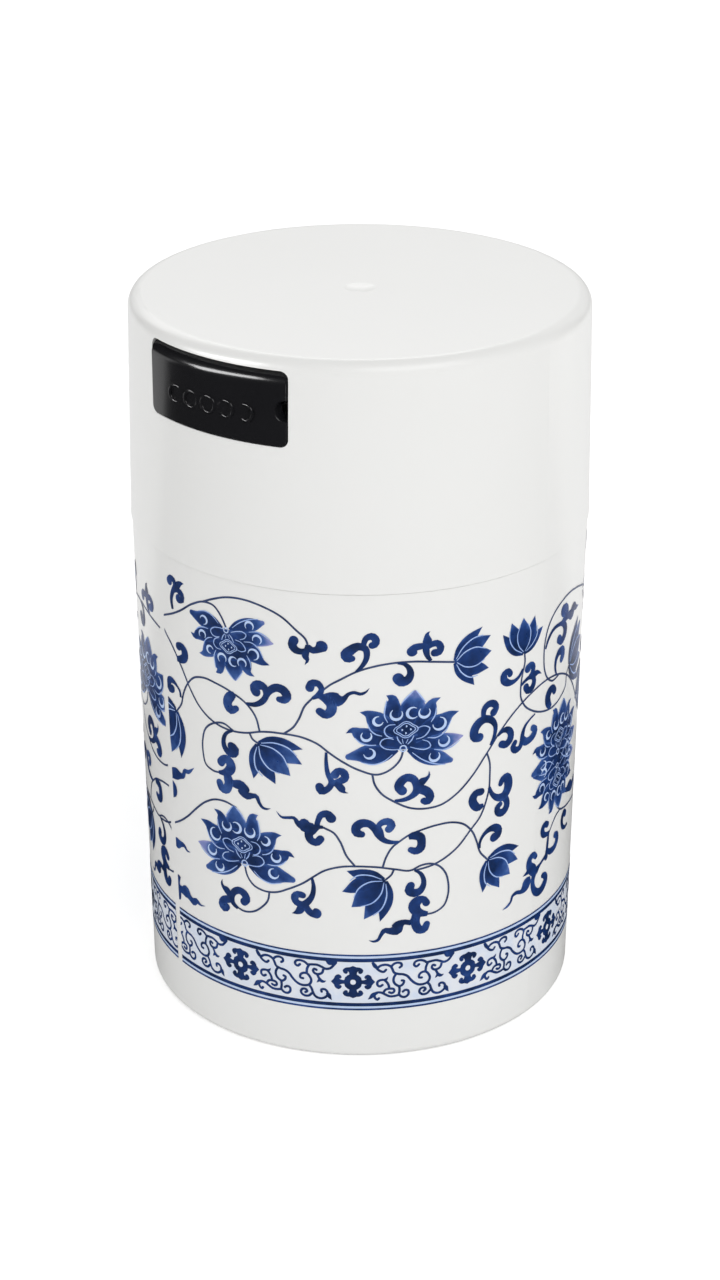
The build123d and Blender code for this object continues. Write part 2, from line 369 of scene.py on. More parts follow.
class Drawing:
    """Gathers strokes of ink, then lays them on the wall as one piece."""

    def __init__(self, name, material, lift):
        self.name = name
        self.material = material
        self.lift = lift
        self.points = []
        self.faces = []
        self.tones = []
        self.count = 0
        self.strokes = 0

    def stroke(self, knots, tone=0.25, tip_tone=None, step=0.45, columns=3, edge_tone=0.0):
        """One stroke; its knots are in mm round the wall, mm up the wall and mm wide."""
        path = smooth_path(knots, step)
        if path[-1, 2] > BLUNT_WIDTH:
            path = round_end(path)
        flat = spread_out(path, columns)
        turn, height = flat[..., 0] / MM_PER_DEGREE, flat[..., 1]
        start, end = film_edges(height)
        cut = np.clip(turn, start, end)
        outside = np.sign(turn - cut).reshape(-1)
        quads = faces_between(len(path), columns)
        quads = quads[np.abs(outside[quads].sum(axis=1)) < 4]
        if not len(quads):
            return
        along = np.linspace(0, 1, len(path))[:, None]
        across = np.linspace(-1, 1, columns)[None, :]
        stacked = STACK_STEP * (self.strokes % STACK_SIZE)
        rise = self.lift + stacked + TIP_RISE * along
        last_tone = tone if tip_tone is None else tip_tone
        shade = tone + (last_tone - tone) * along**2 + edge_tone * np.abs(across) ** 6
        self.points.append(on_wall(cut, height, rise).reshape(-1, 3))
        self.tones.append(shade.reshape(-1))
        self.faces.append(self.count + quads)
        self.count += cut.size
        self.strokes += 1

    def finish(self, stands_for=None):
        """Makes the mesh, gives each point its stroke's tone, and drops collapsed faces."""
        points = np.concatenate(self.points)
        faces = np.concatenate(self.faces)
        mesh = bpy.data.meshes.new(self.name)
        mesh.from_pydata(points.tolist(), [], faces.tolist())
        tone = mesh.attributes.new("tone", "FLOAT", "POINT")
        tone.data.foreach_set("value", np.concatenate(self.tones))
        tidy = bmesh.new()
        tidy.from_mesh(mesh)
        bmesh.ops.dissolve_degenerate(tidy, dist=1e-6, edges=tidy.edges)
        loose = [point for point in tidy.verts if not point.link_faces]
        bmesh.ops.delete(tidy, geom=loose, context="VERTS")
        tidy.to_mesh(mesh)
        tidy.free()
        mesh.materials.append(self.material)
        mesh.shade_smooth()
        piece = bpy.data.objects.new(self.name, mesh)
        bpy.context.collection.objects.link(piece)
        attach(piece, "canister")
        if stands_for:
            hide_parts(stands_for)


def placed(knots, turn, height, scale=1.0, flip_x=1, flip_y=1, spin=0.0):
    """Moves a motif's knots from their own mm to a place on the wall."""
    cosine, sine = math.cos(math.radians(spin)), math.sin(math.radians(spin))
    moved = []
    for x, y, width in knots:
        x, y = x * scale * flip_x, y * scale * flip_y
        moved.append(
            (
                turn * MM_PER_DEGREE + x * cosine - y * sine,
                height + x * sine + y * cosine,
                width * scale,
            )
        )
    return moved


class Patch:
    """Where one copy of the garden lies: degrees round, mm up, and degrees of lean per mm."""

    def __init__(self, shift, rise, lean):
        self.shift = shift
        self.rise = rise
        self.lean = lean

    def spot(self, turn, height):
        """A place in the garden, moved to this copy's place on the wall."""
        return turn + self.shift + self.lean * (height - LEAN_CENTRE), height + self.rise

    def path(self, knots, fullness=1.0):
        """Knots written as degrees, mm and mm wide, moved to this copy's place."""
        moved = []
        for turn, height, width in knots:
            turn, height = self.spot(turn, height)
            moved.append((turn * MM_PER_DEGREE, height, width * fullness))
        return moved


# The lotus, seen from the side: its stem ring is the origin
# Each petal: a curved stroke with its widths, then the tone of its tip
LOTUS_PETALS = [
    ([(1.5, 3, 4.2), (1.7, 6.5, 5.3), (1.85, 8.8, 4.5), (2, 10.3, 2.7), (2.1, 11.7, 0)], 0.65),
    ([(-1.2, 4, 3), (-1.9, 6.8, 3.6), (-2, 8.9, 2.8), (-2.2, 10.4, 1.6), (-3.2, 11, 0)], 0.5),
    ([(3, 4, 3), (4.6, 6.5, 3.4), (5.1, 7.9, 2.6), (5.6, 8.9, 1.5), (7, 9.5, 0)], 0.45),
    ([(-2.2, 3, 3.4), (-4.2, 5.2, 4.1), (-5.5, 6.5, 3.2), (-6.6, 7.4, 1.5), (-8, 7.7, 0)], 0.5),
    ([(3, 2, 3), (5.8, 3.7, 4.2), (7.6, 4.7, 3.5), (8.8, 5.6, 1.9), (10.7, 6.1, 0)], 0.45),
    (
        [(-1.5, 1.2, 2), (-4, 2.1, 3.3), (-6.3, 2.7, 3.4), (-8.2, 3.4, 2.5), (-9.4, 4, 1.2),
         (-10.5, 3.4, 0)],
        0.3,
    ),
    ([(2.5, 0.2, 1.6), (5.6, 0.5, 3), (8.2, 0.5, 3.2), (10, 0.7, 2), (11.7, 0.85, 0.2)], 1.0),
    (
        [(-1, -0.2, 0.8), (-3.2, -0.8, 3), (-5, -1, 4), (-6.8, -0.9, 3.8), (-8.6, -1.1, 2.3),
         (-10, -1.4, 1.3)],
        0.62,
    ),
    ([(0.9, -0.3, 0.8), (3, -1.4, 2.7), (5.2, -2.3, 3.4), (7.3, -3, 2.8), (9.2, -3.7, 1.1)], 0.85),
    ([(-4.3, 1.6, 4), (0.4, 1.9, 4.2), (5, 1.4, 4)], 0.2),
    ([(-3.6, 4.4, 3.4), (0.5, 4.6, 5), (4.6, 4.4, 3.4)], 0.2),
]
LOTUS_LINES = [
    [(-0.3, -0.1), (-2.1, -0.1), (-3.7, 0.4), (-4.3, 1.2), (-3.9, 2), (-2.8, 2.3), (-1.8, 2)],
    [(-1.5, 5), (-2.8, 4.9), (-3.5, 4.1), (-3.3, 3.1), (-2.6, 2.5), (-1.9, 2.3)],
    [(2.5, 3.9), (4, 4.2), (5, 3.6), (4.6, 2.7), (3.8, 2), (2.4, 1.7)],
    [(1.3, 0.2), (2.9, -0.4), (4.3, -0.6), (5.2, -0.1), (4.8, 0.8), (3.6, 1.4)],
    [(-2.9, 5.5), (-3.5, 6.8), (-3.4, 8.5), (-3.1, 10)],
    [(-6.6, 5.4), (-6, 4), (-4.9, 3.1), (-3.9, 2.8)],
    [(-8.9, 2.5), (-7.9, 1.5), (-6.4, 1), (-5, 1)],
    [(9.2, 4.6), (7.9, 2.3), (6.3, 1.5), (4.6, 1.7)],
    [(11, 0.1), (9.5, -0.9), (7.9, -1.3), (5.9, -0.9)],
    [(6.2, 7.6), (6, 6.2), (5.2, 4.8)],
    [(-0.5, 9), (0.5, 10.3), (1.9, 11.6)],
    [(4.1, 9), (3.3, 10.2), (2.3, 11.6)],
    [(1.7, -1), (3.7, -2.7), (6.1, -3.9), (8.2, -4.4)],
    [(-7.8, -2.5), (-5.5, -3), (-3.7, -2.5), (-2, -1.1)],
    [(-0.3, 0.9), (-0.9, 1.7), (-1.2, 2.6)],
    [(0, 1), (-0.2, 2)],
    [(0.5, 1), (0.9, 1.9)],
    [(0.8, 0.8), (1.5, 1.5), (2, 2.5)],
]
# Each curled highlight: centre, radius, and which way it opens in degrees
LOTUS_SWIRLS = [
    (-6.3, -0.7, 1.0, 140),
    (-6.8, 2.9, 0.95, 90),
    (-4.6, 5.9, 0.9, 35),
    (-1.3, 7.1, 1.1, 80),
    (1.8, 7.1, 1.1, 5),
    (3.95, 7.0, 1.05, 85),
    (6.8, 4.3, 1.25, 135),
    (7.8, 0.6, 1.05, 110),
    (6.0, -2.3, 1.0, 90),
]
# Each curled highlight has this many knots this many degrees apart, after a first gap
SWIRL_KNOTS = 10
SWIRL_STEP = 29
SWIRL_GAP = 48

# The eye's centre and half sizes, how far its corners are drawn in, and its outlines as shares
LOTUS_EYE = (0.5, 3.8, 2.3, 1.65)
EYE_PINCH = 0.2
EYE_OUTLINES = (1.0, 0.78)
LOTUS_DOTS = [(0.5, 4.5), (-0.3, 3.8), (1.3, 3.8), (0.4, 3.1)]

# A lotus bud pointing along +x from its stem
BUD_PETALS = [
    ([(0, 0.2, 0.7), (1.2, 1.9, 2.2), (2.8, 3.5, 2.4), (4.3, 4.6, 1.5), (5.8, 5.6, 0)], 0.3),
    ([(0, -0.2, 0.7), (0.9, -1.9, 2), (2.1, -3.4, 2.1), (3.1, -4.6, 1.3), (3.8, -5.7, 0)], 0.3),
    ([(0.3, 0.4, 1.2), (2.6, 1.7, 3), (4.8, 2.5, 2.8), (6.2, 3, 1.6), (7.6, 3.4, 0)], 0.5),
    ([(0.3, -0.4, 1.2), (2.5, -1.8, 3), (4.5, -2.4, 2.6), (5.8, -2.7, 1.5), (7, -3.1, 0)], 0.35),
    ([(0, 0, 0.8), (2.2, 0, 3.2), (4.6, 0.1, 3.4), (6.1, 0.2, 2.2), (7.7, 0.2, 0)], 0.5),
]
BUD_LINES = [
    [(0.4, 0.2), (2.1, 1.5), (4.4, 1.9), (6.4, 1.1)],
    [(0.4, -0.2), (2.1, -1.5), (4.4, -1.8), (6.2, -1.0)],
    [(0.3, 0.6), (1.8, 2.6), (4.2, 3.9), (6, 3.9)],
    [(0.3, -0.6), (1.3, -2.5), (3.1, -3.9), (4.6, -3.9)],
]

# Degrees that a bud needs before the film's end
BUD_ROOM = 2.0

# How dark a flower's petals are at their foot
PETAL_TONE = 0.14

lotus_blue = Drawing("print_lotus_petals", petal_ink, 0.03)
lotus_pale = Drawing("print_lotus_lines", line_ink, 0.055)
bud_blue = Drawing("print_bud_petals", petal_ink, 0.03)
bud_pale = Drawing("print_bud_lines", line_ink, 0.055)
vines = Drawing("print_vines", vine_ink, 0.02)
leaves = Drawing("print_leaves", petal_ink, 0.03)
edging = Drawing("print_edging", petal_ink, 0.03)
scrolls = Drawing("print_edging_scrolls", petal_ink, 0.03)
edging_dots = Drawing("print_edging_dots", wash_ink, 0.055)
wash = Drawing("print_edging_wash", wash_ink, 0.01)


def draw_lines(drawing, lines, place, tone):
    """Hair lines that are fullest in the middle."""
    for line in lines:
        last = len(line) - 1
        knots = [(x, y, 0.13 + 0.12 * math.sin(math.pi * i / last)) for i, (x, y) in enumerate(line)]
        drawing.stroke(placed(knots, *place), tone, columns=2)


def disc(radius):
    """Knots of a stroke that fills a circle."""
    angles = np.linspace(0, math.pi, 9)
    return [(-radius * math.cos(a), 0, 2 * radius * math.sin(a)) for a in angles]


def swirl_knots(x, y, radius, opening):
    """Knots of a curled highlight, fullest in its middle."""
    knots = []
    for step in range(SWIRL_KNOTS):
        angle = math.radians(opening + SWIRL_GAP + step * SWIRL_STEP)
        width = 0.12 + 0.45 * math.sin(math.pi * step / (SWIRL_KNOTS - 1)) ** 1.5
        knots.append((x + radius * math.cos(angle), y + radius * math.sin(angle), width))
    return knots


def eye_knots(share):
    """Knots of one outline of the eye, an oval with its corners drawn in."""
    x, y, wide, high = LOTUS_EYE
    knots = []
    for angle in np.linspace(0, 2 * math.pi, 25):
        pinch = share * (1 - EYE_PINCH * math.sin(2 * angle) ** 2)
        knots.append((x + wide * pinch * math.cos(angle), y + high * pinch * math.sin(angle), 0.17))
    return knots


def draw_lotus(turn, height, scale, flip_x, flip_y):
    """A lotus with its petals, their hair lines, curled highlights, eye and stem ring."""
    place = (turn, height, scale, flip_x, flip_y)
    for knots, tip_tone in LOTUS_PETALS:
        petal = placed(knots, *place)
        lotus_blue.stroke(petal, PETAL_TONE, tip_tone, columns=7, edge_tone=0.3)
    draw_lines(lotus_pale, LOTUS_LINES, place, 0.15)
    for swirl in LOTUS_SWIRLS:
        lotus_pale.stroke(placed(swirl_knots(*swirl), *place), 0.7, step=0.25)
    for share in EYE_OUTLINES:
        lotus_pale.stroke(placed(eye_knots(share), *place), 0.3, step=0.3, columns=2)
    for x, y in LOTUS_DOTS:
        lotus_pale.stroke(placed([(x - 0.05, y, 0.4), (x + 0.05, y, 0.4)], *place), 0.7)
    ring = [(0.6 * math.cos(a), 0.6 * math.sin(a), 0.26) for a in np.linspace(0, 2 * math.pi, 13)]
    lotus_pale.stroke(placed(ring, *place), 0.5, step=0.25)


def draw_bud(turn, height, spin, scale):
    """A bud on its stem, unless only a sliver of it would fit before the film's end."""
    if turn > film_edges(height)[1] - BUD_ROOM:
        return
    place = (turn, height, scale, 1, 1, spin)
    for knots, tip_tone in BUD_PETALS:
        petal = placed(knots, *place)
        bud_blue.stroke(petal, PETAL_TONE, tip_tone, columns=6, edge_tone=0.15)
    draw_lines(bud_pale, BUD_LINES, place, 0.2)


# Vines as degrees round from the camera side, mm up and mm wide
VINE_WIDTH = 0.4
VINES = [
    [(-60, 83.6), (-57, 84.6), (-53, 86), (-50, 87.3), (-45, 89.9), (-41, 91.2), (-38, 91.1),
     (-35.8, 89.5), (-34.4, 87.6)],
    [(-41.3, 91.2), (-38, 92.4), (-34, 93.5), (-29.5, 93.9), (-24, 93.3), (-19, 91.8),
     (-15.5, 89.6), (-13, 87.8), (-12.4, 86.3)],
    [(-60, 83.2), (-57, 81), (-54, 79), (-50, 75.3), (-47.5, 72.4), (-44, 69.3), (-40.5, 67.6),
     (-37, 66.8), (-33, 66.6), (-29, 67), (-25, 67.9), (-19, 68.3), (-14, 68), (-10, 66.8),
     (-8, 65.6), (-4, 63.5), (0, 61.9), (4.5, 61), (8, 62.2), (10, 64), (10.6, 65.6)],
    [(-53.3, 65.8), (-51, 68), (-50.2, 70), (-48.3, 72.7), (-45.5, 74.8), (-42, 75.6), (-38, 75.4),
     (-33, 74.5), (-29, 73), (-26.5, 70.8), (-25.4, 67.9)],
    [(-33, 66.7), (-36, 67.6), (-39, 67), (-42, 65.2), (-43.2, 62.5), (-43.2, 59.8), (-42.3, 57.6),
     (-40, 56.9), (-37.5, 57)],
    [(-19, 68.3), (-16.5, 69.9), (-15, 71.8), (-13.5, 74.5), (-11.5, 76.3)],
    [(-9, 78), (-7, 79.3), (-5, 80.2), (-1, 81.9), (3, 82.9), (8, 83.5), (13, 83.5), (18, 83),
     (23.5, 82.3)],
    [(3, 61.1), (3.6, 59), (5.3, 57), (8.5, 55.2), (13, 53.5), (17, 53.1), (20.5, 53.4), (25, 55.2),
     (29, 58), (33.3, 62), (38, 66.2), (43, 69.2), (48, 71), (53, 71.9), (58, 71.8), (62, 71),
     (67, 69), (71, 66.2), (76, 61.5), (82, 57)],
    [(44.7, 80), (45, 78.3), (44.3, 76), (43.8, 73.5), (44, 71), (45.5, 69), (49, 67), (54, 65.6),
     (58, 65.3), (62, 66), (65.3, 67.6), (65.6, 69.8), (67.3, 71.3)],
    [(60.5, 71.2), (57, 71), (54.7, 72.2), (53.2, 74.2), (52.6, 77), (52.8, 80), (54, 82.7),
     (56, 84.6), (60, 86.2), (65, 86.8), (70, 86.3), (76, 85), (82, 83.2), (88, 80)],
    [(33.3, 62), (34.2, 60), (34.4, 57), (34.3, 54.5), (33.5, 52), (31.8, 49), (29, 46.7),
     (25.5, 43.8), (22, 42), (18.5, 40.9), (14, 40.3)],
    [(-60, 39.8), (-56.8, 41), (-53.5, 42.5), (-50, 44.6), (-46.5, 47.2), (-43, 49.5),
     (-39.5, 50.9), (-36, 51.2), (-33, 50.7)],
    [(-30.7, 38.8), (-30, 36.7), (-28.3, 35.1), (-25.5, 34.4), (-22, 34.6), (-18.5, 35.8),
     (-14, 37.8), (-12, 39), (-9, 40.6), (-5, 41.6), (0, 41.8), (5, 41.5), (9, 40.9), (13, 40.4),
     (15.5, 41.2), (18, 41.3), (20, 40.7), (22, 39), (23, 36.5), (23, 34), (21.8, 31.7),
     (19.5, 30.7), (16.5, 30.5)],
    [(-23.7, 34.5), (-24.2, 32.5), (-26, 30.7), (-28.5, 29.3), (-31.5, 28.8), (-34, 29.4)],
    [(-1.3, 41.9), (-3.3, 43.9), (-5, 47), (-6.5, 48.7), (-9, 49.7)],
    [(5.7, 41.5), (6.6, 43.7), (8.3, 45.8), (10, 46.8), (12, 47.8), (16, 48.8), (20, 49.3),
     (24, 49.2), (27, 48.3), (29.5, 46.3), (31, 43.8), (32, 41.5), (34.4, 39.3)],
    [(8.5, 40.8), (8, 39.9), (6.4, 38.8)],
    [(-28.2, 67), (-27.5, 66), (-26, 65.4)],
    [(62, 45), (62.8, 43), (65, 41.2), (69, 40.2), (74, 39.6), (80, 39)],
    [(66, 41), (63, 40.5), (61, 39.5), (59.2, 38.1)],
]

# Curled leaves, sprigs and wavy tails
LEAVES = [
    [(-12.5, 86.8, 0.8), (-12.9, 85.7, 1), (-14.2, 85.4, 1), (-15.7, 85.7, 1.3), (-16.4, 86.6, 1.4),
     (-16, 87.5, 1.2)],
    [(-12.6, 86.6, 0.9), (-11.5, 85.9, 1.1), (-10.2, 86.1, 1.2), (-9.3, 86.7, 1.6)],
    [(-12.7, 85.8, 0.8), (-13.2, 84.6, 1.1), (-12.7, 83.8, 0.6), (-13.4, 82.8, 0)],
    [(-53.2, 86.8, 0.6), (-53.6, 88.6, 0.75), (-52.9, 90.3, 0.9), (-51.8, 91.5, 0.9)],
    [(-51.6, 91.6, 0.9), (-52.3, 92.9, 1), (-53.6, 92.9, 1.2), (-54.1, 92.3, 1.2)],
    [(-52.4, 90.8, 0.8), (-50.8, 91.2, 0.9), (-49.4, 90.8, 1.3), (-49.3, 89.9, 1.5),
     (-50.4, 89.6, 1.2)],
    [(-51.8, 91.3, 0.8), (-50.5, 92.3, 1.2), (-49.4, 92.9, 0.7), (-48.1, 93.1, 0)],
    [(-52.2, 77, 0.9), (-50.6, 77.2, 1.3), (-48.9, 78.1, 1.6), (-48.9, 79.3, 1.6), (-50.2, 80, 1.3),
     (-51.3, 79.7, 1.1)],
    [(-51.2, 69.2, 0.5), (-51.6, 70.5, 0.5), (-52.8, 71.2, 0.5), (-54.3, 71.7, 0.9),
     (-55.9, 71.6, 1.2), (-56.6, 70.5, 1.4), (-55.9, 69.7, 1.4), (-54.9, 70, 1.1)],
    [(-28.9, 73, 0.5), (-26.6, 73.2, 0.8), (-24.6, 74.1, 1), (-23.4, 75.6, 1), (-23.9, 77.1, 1.3),
     (-25.3, 77.4, 1.6), (-26.6, 76.6, 1.6), (-26.2, 75.9, 1.3)],
    [(-23.6, 75.2, 0.9), (-22.4, 76.7, 1.2), (-20.5, 77.5, 1.4), (-18.6, 77, 1.5), (-18, 75.9, 1.5),
     (-18.9, 75.2, 1.3), (-20, 75.2, 0.8)],
    [(-32.3, 74.3, 0.9), (-33.3, 73.8, 1.6), (-34.3, 72.9, 1.7), (-34.5, 71.8, 1.7),
     (-33.6, 71, 1.7), (-32.5, 71.2, 1.2), (-31.9, 71.5, 0.8)],
    [(-33.3, 66.6, 0.4), (-35.1, 65.8, 0.6), (-36.1, 64.3, 0.8), (-35.9, 62.8, 1),
     (-34.6, 61.9, 1.3), (-33.2, 62, 1.6), (-32.7, 62.9, 1.6), (-33.7, 63.3, 1.2)],
    [(-38, 57, 0.6), (-36.6, 57.2, 1), (-35, 57.8, 1.6), (-34, 59, 1.8), (-34.9, 60.2, 1.7),
     (-36.3, 60.1, 1.4), (-37.2, 59.3, 1.2)],
    [(-35.6, 57.4, 1.2), (-35, 56.2, 1.8), (-35, 55, 1.6), (-35.9, 53.9, 1.6), (-37.2, 53.9, 1.5),
     (-37.8, 54.8, 1.1)],
    [(-34.6, 55.6, 0.9), (-33, 55.6, 1.4), (-31.2, 55.6, 1.9), (-30.3, 54.7, 2.3),
     (-29.3, 53.9, 1.5), (-28, 54.1, 0.9), (-26.8, 54.2, 0.8), (-26, 53, 0.6), (-25, 52.1, 0.5),
     (-24, 52, 0.35), (-22.8, 52.3, 0)],
    [(-8.3, 65.4, 0.4), (-8.3, 63.2, 0.6), (-7.9, 61, 0.8), (-7, 59.2, 1), (-8.3, 57.7, 1.1),
     (-9.6, 57.4, 1.4), (-10, 58.2, 1.1)],
    [(-7, 59, 1), (-5.3, 59.5, 1.1), (-3.7, 60.3, 1.3), (-4, 61.4, 1.3), (-5.3, 61.7, 1.2),
     (-6.2, 60.9, 1.1)],
    [(-6.2, 59.2, 0.8), (-5, 58.5, 1.2), (-4.2, 57.7, 1), (-3.9, 57.4, 0.5), (-2.8, 57.2, 0)],
    [(-11.6, 76.2, 0.5), (-10.2, 76.9, 0.9), (-9.3, 78.2, 0.9), (-10.2, 79.3, 1.1),
     (-11.7, 79.2, 1.3), (-12.2, 78.3, 1.1)],
    [(-10, 76.9, 0.9), (-8.2, 76.3, 1.5), (-6.9, 75.1, 1.6), (-7.1, 73.8, 1.6), (-8.4, 73.1, 1.4),
     (-9.8, 73.7, 1)],
    [(-8.6, 76.6, 1.2), (-6.8, 76.6, 2), (-5.3, 76.2, 2.2), (-3.9, 76.5, 1), (-2.9, 77.4, 0.6),
     (-1.6, 77.8, 0.55), (0.3, 77.5, 0.5), (1.4, 77.9, 0.35), (2.3, 78.7, 0)],
    [(-1, 81.9, 0.4), (0.6, 83.2, 0.7), (1.6, 84.9, 0.9), (1.3, 86.5, 1.1), (-0.3, 87, 1.3),
     (-2.3, 86.2, 1.6), (-3.4, 85.2, 1.7), (-2.9, 84.5, 1.3), (-1.9, 84.6, 0.8)],
    [(1.2, 86.2, 0.6), (0.9, 87.4, 0.8), (1.6, 88.7, 1), (2.9, 89, 1.2), (3.8, 88.2, 1.2),
     (3.5, 87.4, 1.2), (2.9, 87.2, 0.9)],
    [(9, 83.4, 0.3), (10.6, 83.2, 0.6), (11.9, 82.2, 0.9), (12.2, 80.9, 1.2), (11.4, 79.9, 1.5),
     (10, 79.7, 1.7), (9.2, 80.4, 1.4)],
    [(17.3, 83.3, 0.5), (16.4, 84.3, 0.8), (16, 85.6, 1.1), (15.8, 86.3, 1), (14.4, 86.4, 1.1),
     (13.1, 86.2, 1.3), (12.6, 85.6, 1.4)],
    [(16, 85.9, 0.9), (17.2, 86.5, 1), (18.9, 86.6, 1.1), (19.7, 85.7, 1.2), (19.2, 84.8, 1.2),
     (18.2, 84.8, 1)],
    [(15.9, 86.3, 0.8), (16.3, 87.3, 1.5), (16.2, 88.1, 1), (16.3, 88.8, 0.5), (17, 89.2, 0)],
    [(8.6, 55.4, 0.4), (10.5, 55.4, 0.7), (12.6, 55.9, 0.9), (14.1, 57, 1.3), (14, 58.4, 1.2),
     (13.2, 59.6, 1.3), (11.7, 60, 1.4), (10.2, 59.3, 1.5), (9.6, 58.2, 1.5), (10.5, 57.3, 1.2)],
    [(14.2, 57.6, 1.6), (15.8, 57.1, 1.6), (17.2, 56.3, 1.5), (17.6, 55.2, 1.4), (16.8, 54.5, 1.2),
     (16, 54.8, 0.9)],
    [(14.6, 58.1, 0.9), (15.6, 58.9, 1.3), (16.7, 59.4, 0.7), (17.3, 60, 0.4), (17.2, 60.9, 0)],
    [(34.4, 63.4, 0.6), (35.5, 65.3, 0.7), (35.6, 67.3, 0.9), (34.2, 68.7, 1.2), (32.3, 69.2, 1.4),
     (30.4, 68.6, 1.6), (29.3, 67.2, 1.6), (29.6, 65.9, 1.5), (30.9, 65.7, 1.2)],
    [(32.3, 69, 0.8), (31.9, 70.2, 0.9), (32.2, 71.4, 1.1), (33.5, 72.1, 1.2), (35.1, 71.8, 1.2),
     (35.8, 70.9, 1.1), (35, 70.1, 1.1)],
    [(36.5, 64.9, 0.5), (38, 65.6, 0.8), (39.6, 65.5, 1.1), (40.8, 64.5, 1.3), (40.6, 63.2, 1.4),
     (39.3, 62.5, 1.3), (37.8, 62.9, 1)],
    [(49.8, 66.2, 0.3), (47.7, 65.6, 0.4), (45.9, 64.6, 0.6), (45.1, 63.2, 0.9), (44.9, 61.8, 1),
     (44.1, 60.6, 1), (42.6, 60.5, 1.2), (41.7, 61.3, 1.1), (42.4, 62.1, 0.8)],
    [(45.2, 62.4, 0.9), (46.1, 61.4, 1.4), (47.8, 61.3, 1.3), (49.4, 61.9, 1.4), (50.1, 62.8, 1.2),
     (49, 63.5, 0.9)],
    [(44.3, 76.9, 0.4), (43, 75.6, 0.6), (41.1, 75, 0.8), (39.2, 75.2, 1.2), (37.9, 76.1, 1.4),
     (38, 77.2, 1.3), (39.3, 77.6, 1), (39.9, 76.9, 0.9)],
    [(43.9, 73.6, 0.5), (45.4, 74.2, 0.6), (47, 74.5, 0.8), (48.4, 74.1, 0.9), (48.7, 72.9, 1.1),
     (47.7, 71.9, 1.2), (46.3, 72, 1.2), (45.7, 72.8, 1)],
    [(46.8, 74.5, 0.8), (48, 75.3, 1), (48.2, 76.4, 1.1), (47.2, 76.9, 1.3), (46.2, 76.5, 1.2)],
    [(47.9, 74.5, 0.8), (49.4, 74.7, 1.1), (50.5, 74.6, 0.6), (51.8, 74, 0)],
    [(56.8, 65.6, 0.9), (55.6, 66.7, 1.5), (55.2, 68, 1.6), (56.2, 69.2, 1.6), (57.6, 69.3, 1.3),
     (58.5, 68.5, 1)],
    [(59.2, 71.6, 0.4), (58.4, 73.2, 0.6), (58.7, 75, 0.9), (60.1, 76, 1.3), (61.9, 75.9, 1.6),
     (62.4, 74.8, 1.5), (61.8, 74.2, 1.1)],
    [(53.2, 78.6, 0.4), (54.4, 80.4, 0.6), (56.6, 81.7, 0.7), (59.2, 81.9, 0.7), (61.6, 81.5, 1),
     (63.2, 80.2, 1.4), (63, 78.9, 1.4), (61.2, 78, 1.3), (59.8, 78.8, 1.2)],
    [(60.6, 81.6, 0.8), (62.8, 82.4, 1.2), (64.1, 83.4, 1.1), (63.2, 84.4, 1.4), (62, 84.1, 1.8)],
    [(62.5, 82, 1.1), (65.2, 82.2, 1.3), (67.2, 81.8, 1.9), (69, 82.8, 1.6), (70.8, 82.1, 0.9),
     (73.4, 81.8, 0)],
    [(12.2, 47.5, 0.9), (13.6, 47.7, 1.4), (15.2, 47.3, 1.5), (15.6, 46, 1.4), (15.3, 44.9, 1.5),
     (14.1, 44.4, 1.3), (12.8, 44.8, 0.8)],
    [(9.7, 46.7, 0.4), (7.9, 46.7, 0.7), (6.1, 47.2, 0.9), (4.6, 48.4, 1.1), (3.6, 49.8, 1.2),
     (2.2, 50.8, 1.3), (0.4, 50.9, 1.5), (-1, 50, 1.5), (-0.8, 48.9, 1.4), (0.4, 48.6, 0.9)],
    [(5.6, 47.8, 0.7), (5.1, 49.1, 0.9), (4.6, 50.2, 0.9), (5.6, 51, 1.1), (7.1, 51.1, 1.3),
     (7.9, 50.2, 1.3), (7.2, 49.5, 1)],
    [(-9.2, 49.8, 0.5), (-10.6, 49.9, 0.8), (-10.4, 51.3, 0.9), (-9.6, 52.4, 1.1),
     (-8.1, 52.6, 1.4), (-7.2, 51.8, 1.3)],
    [(-10.4, 49.9, 0.9), (-11.9, 49.2, 1.6), (-12.9, 48, 1.4), (-12.3, 46.8, 1.3),
     (-10.9, 46.5, 1.3), (-9.9, 47.3, 1)],
    [(-11.6, 49.5, 1.6), (-13.2, 49.5, 2), (-14.4, 50, 2.2), (-15.6, 50.1, 1.1), (-16.6, 51.1, 0.6),
     (-18.2, 51, 0.5), (-19.9, 50.9, 0.4), (-21.4, 52, 0)],
    [(13.8, 40.3, 0.3), (15.2, 39.7, 0.6), (16.2, 38.3, 0.8), (16.2, 36.8, 1), (15.2, 35.7, 1.3),
     (13.6, 35.5, 1.5), (12.5, 36.2, 1.5), (12.9, 37.1, 1.1)],
    [(17.5, 30.6, 0.8), (15.8, 30.9, 1.3), (14.4, 31.6, 1.8), (13.9, 32.7, 2), (14.9, 33.7, 1.7),
     (16.4, 33.8, 1.2), (17.1, 33, 1)],
    [(14.8, 31.2, 1.6), (14.3, 29.9, 1.5), (14.4, 28.5, 1.5), (15.3, 27.4, 1.5), (16.6, 27.4, 1.4),
     (17.3, 28.4, 0.9)],
    [(14.5, 30.3, 1.4), (13.1, 29.2, 1), (11.2, 29.4, 1), (9.8, 28.7, 1.9), (9.2, 27.9, 2),
     (7.8, 27.7, 1.2), (6.3, 27.9, 0.9), (5.3, 26.9, 0.6), (4.6, 25.9, 0.5), (3.5, 25.6, 0.4),
     (2.2, 25.9, 0)],
    [(-33.2, 29, 0.6), (-34.6, 29.7, 0.9), (-35.1, 31, 1.1), (-34.2, 32.4, 1.2), (-32.6, 33, 1.3),
     (-31, 32.5, 1.5), (-30.5, 31.5, 1.5), (-31.3, 30.8, 1.1)],
    [(-34.8, 30.6, 1.2), (-36.2, 30.3, 1.3), (-37.9, 29.6, 1.4), (-38.4, 28.6, 1.5),
